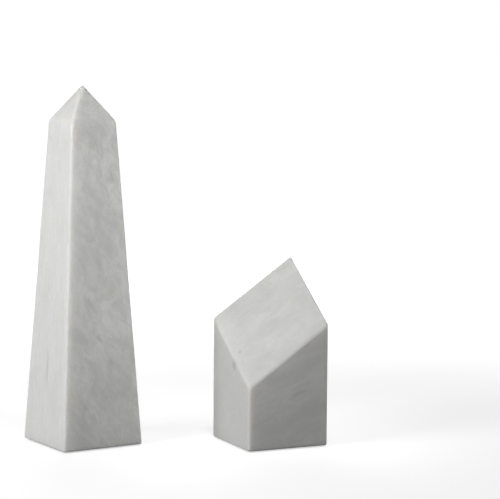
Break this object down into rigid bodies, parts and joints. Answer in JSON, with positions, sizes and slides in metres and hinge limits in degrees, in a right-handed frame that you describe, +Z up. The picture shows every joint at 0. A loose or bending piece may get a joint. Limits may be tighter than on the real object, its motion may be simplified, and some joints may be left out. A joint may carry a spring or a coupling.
{
  "type": "pair of book ends",
  "caption": "Marble obelisk and slant-topped square block on felt pads that hold a row of books upright between them.",
  "frame": {"origin": "on the shelf, under the middle of the pair's box: centre in X and Y, bottom in Z", "axes": "+Z up; +X along the shelf, from the tall book end to the short one; -Y is the side that the pair is seen from"},
  "size_m": [0.3109, 0.1218, 0.3667],
  "materials": {
    "marble": "honed to a soft sheen, white with cloudy grey veining",
    "felt": "pressed wool felt, charcoal grey"
  },
  "bodies": {
    "tall_book_end": {"tall_stone": "marble", "tall_pad_front": "felt", "tall_pad_right": "felt", "tall_pad_back": "felt", "tall_pad_left": "felt"},
    "short_book_end": {"short_stone": "marble", "short_pad_front": "felt", "short_pad_right": "felt", "short_pad_back": "felt", "short_pad_left": "felt"}
  },
  "joints": [
    {"name": "spread", "type": "slide", "parent": "tall_book_end", "child": "short_book_end", "axis": [1, 0, 0], "range_m": [-0.07, 0.25]}
  ]
}
